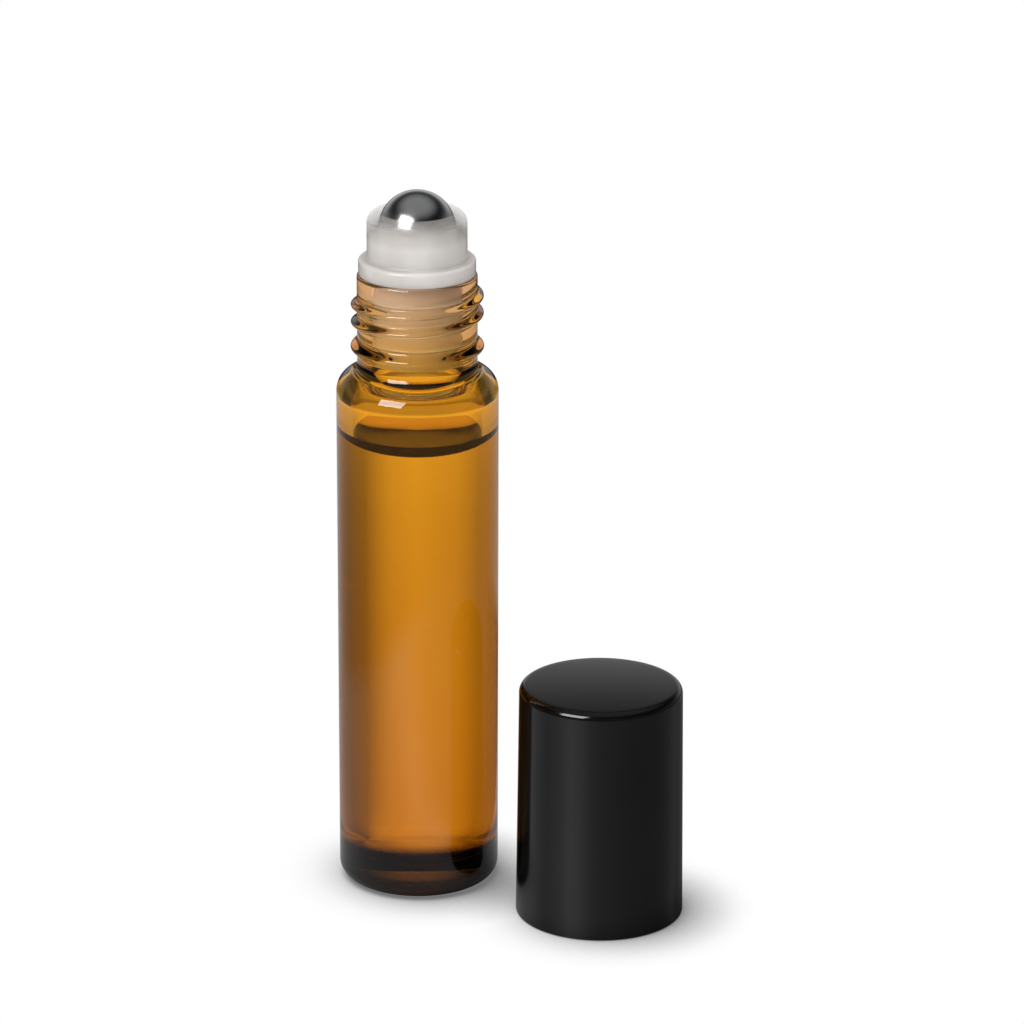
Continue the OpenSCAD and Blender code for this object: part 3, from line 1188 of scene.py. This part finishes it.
@dataclass
class Floor:
    """The pale glowing floor, with its painted contact shadow and what it shows in gloss and in glass.

    Lengths are distances from the bottle's axis in millimetres, and ramps go round it in degrees
    from the front.
    """

    size: float = 8.0
    drop: float = 0.02
    pale: Triple = (0.7, 0.7, 0.7)
    shadow_reach: float = 9.5
    shadow_samples: int = 12
    shadow_lean: Point = (-0.3, -0.04)
    shadow_span: Point = (0.38, 0.94)
    shadow_depth: float = 0.17
    shadow_under: float = 0.03
    sweep: tuple[Point, ...] = (
        (-90, 0.8), (-57, 0.6), (-38, 0.58), (-21, 0.85), (0, 1.0), (12, 0.86), (28, 0.39),
        (46, 0.27), (64, 0.3), (90, 0.6),
    )
    sweep_focus: float = 13.0
    sweep_span: Point = (170.0, 200.0)
    dim_span: Point = (300.0, 450.0)
    dim_level: float = 0.55
    warm: Triple = (0.86, 0.70, 0.85)
    warm_span: Point = (30.0, 160.0)
    near_gloss: tuple[Point, ...] = (
        (-180, 0.4), (-150, 0.45), (-114, 0.46), (-83, 0.34), (-70, 0.42), (-58, 0.55), (-43, 0.78),
        (-29, 0.66), (-15, 0.42), (0, 0.3), (40, 0.21), (88, 0.16), (110, 0.18), (126, 0.2),
        (142, 0.11), (180, 0.1),
    )
    least_squeeze: float = 0.5
    far_gloss: tuple[Point, ...] = (
        (-180, 0.5), (-140, 0.45), (-115, 0.25), (-85, 0.12), (85, 0.12), (115, 0.2), (140, 0.35),
        (180, 0.5),
    )
    gloss_span: Point = (96.0, 112.0)
    horizon_span: Point = (232.0, 245.0)
    horizon_level: float = 0.05
    foot_span: Point = (0.25, 0.95)
    foot_level: float = 0.04
    inner_span: Point = (150.0, 200.0)
    inner_level: float = 0.05
    inner_tint: Triple = (0.72, 0.56, 0.46)

    def shown(self, nodes: Nodes, spot: Spot, through: Socket, open_sky: Socket) -> Socket:
        """Adds the floor as the camera sees it, past the object or through it.

        Args:
            nodes: The nodes to add to.
            spot: The point, from the bottle's axis.
            through: 1 for a ray that came straight through the glass.
            open_sky: How open the point lies, from 0 to 1.

        Returns:
            The shader's output.
        """
        # Painted contact shadow: the floor glows and is darkened by ambient occlusion round the object, not
        # by the lamps.
        depth = nodes.span(through, (0.0, 1.0), self.shadow_depth, self.shadow_under)
        shade = nodes.span(open_sky, self.shadow_span, depth)
        focus = nodes.sum("SUBTRACT", spot.y, self.sweep_focus * MM)
        line = nodes.sum("ARCTANGENT", nodes.sum("DIVIDE", spot.x, focus), 0.0)
        sides = turned_ramp(nodes, whole_turns(nodes, line), self.sweep)
        close = nodes.span(spot.far, metres(self.sweep_span), 1.0, 0.0)
        loss = nodes.times(nodes.sum("SUBTRACT", 1.0, sides), through)
        loss = nodes.times(loss, close)
        distant = nodes.span(spot.far, metres(self.dim_span), 0.0, 1.0 - self.dim_level)
        loss = nodes.sum("ADD", loss, nodes.times(distant, through))
        # Painted light: rays through the glass see the floor tinted warm near the bottle.
        glow = nodes.span(spot.far, metres(self.warm_span), 1.0, 0.0)
        colour = nodes.mix(nodes.times(glow, through), WHITE, self.warm)
        level = nodes.times(shade, nodes.sum("SUBTRACT", 1.0, loss))
        return nodes.add("Emission", Color=colour, Strength=level).outputs[0]

    def mirrored(self, nodes: Nodes, spot: Spot, inner: Socket, open_sky: Socket) -> Socket:
        """Adds the floor as gloss shows it, from the outside or from inside the glass.

        Args:
            nodes: The nodes to add to.
            spot: The point, from the bottle's axis.
            inner: 1 for a ray that also went through the glass.
            open_sky: How open the point lies, from 0 to 1.

        Returns:
            The shader's output.
        """
        cap = Cap()
        x, y = nodes.sum("SUBTRACT", spot.x, cap.x * MM), nodes.sum("SUBTRACT", spot.y, cap.y * MM)
        beside = spot_from(nodes, x, y)
        squeeze = nodes.sum("SUBTRACT", 1.0, nodes.sum("DIVIDE", cap.radius / 2 * MM, beside.far))
        squeeze = nodes.sum("MAXIMUM", squeeze, self.least_squeeze)
        turn = nodes.sum("DIVIDE", nodes.sum("SUBTRACT", beside.turn, 0.5), squeeze)
        # Painted reflection: round the cap the floor glows in a bright band that the cap's side shows.
        near = turned_ramp(nodes, nodes.sum("ADD", turn, 0.5, clamp=True), self.near_gloss)
        horizon = nodes.span(spot.far, metres(self.horizon_span))
        distant = turned_ramp(nodes, spot.turn, self.far_gloss)
        distant = nodes.mix(horizon, distant, (self.horizon_level,) * 3)
        outside = nodes.mix(nodes.span(beside.far, metres(self.gloss_span)), near, distant)
        farther = nodes.span(spot.far, metres(self.inner_span))
        inside = nodes.mix(farther, (self.inner_level,) * 3, self.inner_tint)
        # Painted shade: the floor as gloss shows it darkens near the object's foot.
        foot = nodes.span(open_sky, self.foot_span, self.foot_level)
        return nodes.add("Emission", Color=nodes.mix(inner, outside, inside), Strength=foot).outputs[0]

    def build(self) -> None:
        """Builds and dresses the floor."""
        bpy.ops.object.select_all(action="DESELECT")
        bpy.ops.mesh.primitive_plane_add(size=self.size, location=(0, 0, -self.drop * MM))
        floor = bpy.context.object
        floor.name = "floor"
        material = bpy.data.materials.new("Pale floor")
        material.use_nodes = True
        nodes = Nodes(material.node_tree)
        path = nodes.add("LightPath").outputs
        place = nodes.split(nodes.add("TexCoord").outputs["Object"])
        spot = spot_from(nodes, place["X"], place["Y"])
        lean_x, lean_y = self.shadow_lean
        lean = nodes.add("CombineXYZ", X=lean_x, Y=lean_y, Z=1.0).outputs[0]
        near = nodes.add("AmbientOcclusion", samples=self.shadow_samples, Normal=lean)
        near.inputs["Distance"].default_value = self.shadow_reach * MM
        straight = nodes.sum("LESS_THAN", path["Glossy Depth"], 0.5)
        through = nodes.times(path["Is Transmission Ray"], straight)
        seen = nodes.sum("ADD", path["Is Camera Ray"], through, clamp=True)
        plain = nodes.add("BsdfDiffuse", Color=self.pale).outputs[0]
        mirrored = self.mirrored(nodes, spot, path["Is Transmission Ray"], near.outputs["AO"])
        hidden = nodes.blend(path["Is Glossy Ray"], plain, mirrored)
        shown = self.shown(nodes, spot, through, near.outputs["AO"])
        nodes.add("OutputMaterial", Surface=nodes.blend(seen, hidden, shown))
        floor.data.materials.append(material)


@dataclass
class Studio:
    """Floor, soft light, surround and the camera where the photo was taken from."""

    eye: Triple = (11.673, -613.763, 262.875)
    forward: Triple = (0.0, 0.94392, -0.33016)
    right: Triple = (0.99999462, 0.00108317, 0.00309693)
    lens: float = 184.301
    sensor: float = 36.0
    clip: Point = (0.01, 50.0)
    target: Triple = (11.7, 0.0, 48.2)
    key: SoftBox = SoftBox("soft box", (360.0, 325.0), 3.8, -40.0, 30.0, 600.0)
    side: SoftBox = SoftBox("fill", (800.0, 800.0), 4.3, 55.0, 30.0, 700.0, in_gloss=False)

    def camera(self) -> None:
        """Sets the camera."""
        data = bpy.data.cameras.new("camera")
        data.lens = self.lens
        data.sensor_width = self.sensor
        data.clip_start, data.clip_end = self.clip
        camera = bpy.data.objects.new("camera", data)
        bpy.context.scene.collection.objects.link(camera)
        ahead = Vector(self.forward).normalized()
        across = Vector(self.right)
        across = (across - across.dot(ahead) * ahead).normalized()
        turn = Matrix((across, across.cross(ahead), -ahead)).transposed()
        camera.matrix_world = Matrix.Translation(Vector(self.eye) * MM) @ turn.to_4x4()
        bpy.context.scene.camera = camera

    def build(self) -> None:
        """Builds the camera, the floor, the light and the surround."""
        self.camera()
        Floor().build()
        self.key.build(Vector(self.target))
        self.side.build(Vector(self.target))
        Surround().build()
        bpy.context.scene.view_settings.view_transform = "Standard"
        log.info("studio: camera, floor, soft boxes and surround are set")


def main() -> None:
    """Builds the studio and every piece."""
    Studio().build()
    effects = Effects(satin_group(), ripple_group())
    for assembly in (GlassBottle(), Oil(), Housing(), Ball(), Cap()):
        assembly.build(effects)
    bpy.ops.object.select_all(action="DESELECT")


if __name__ == "__main__":
    main()
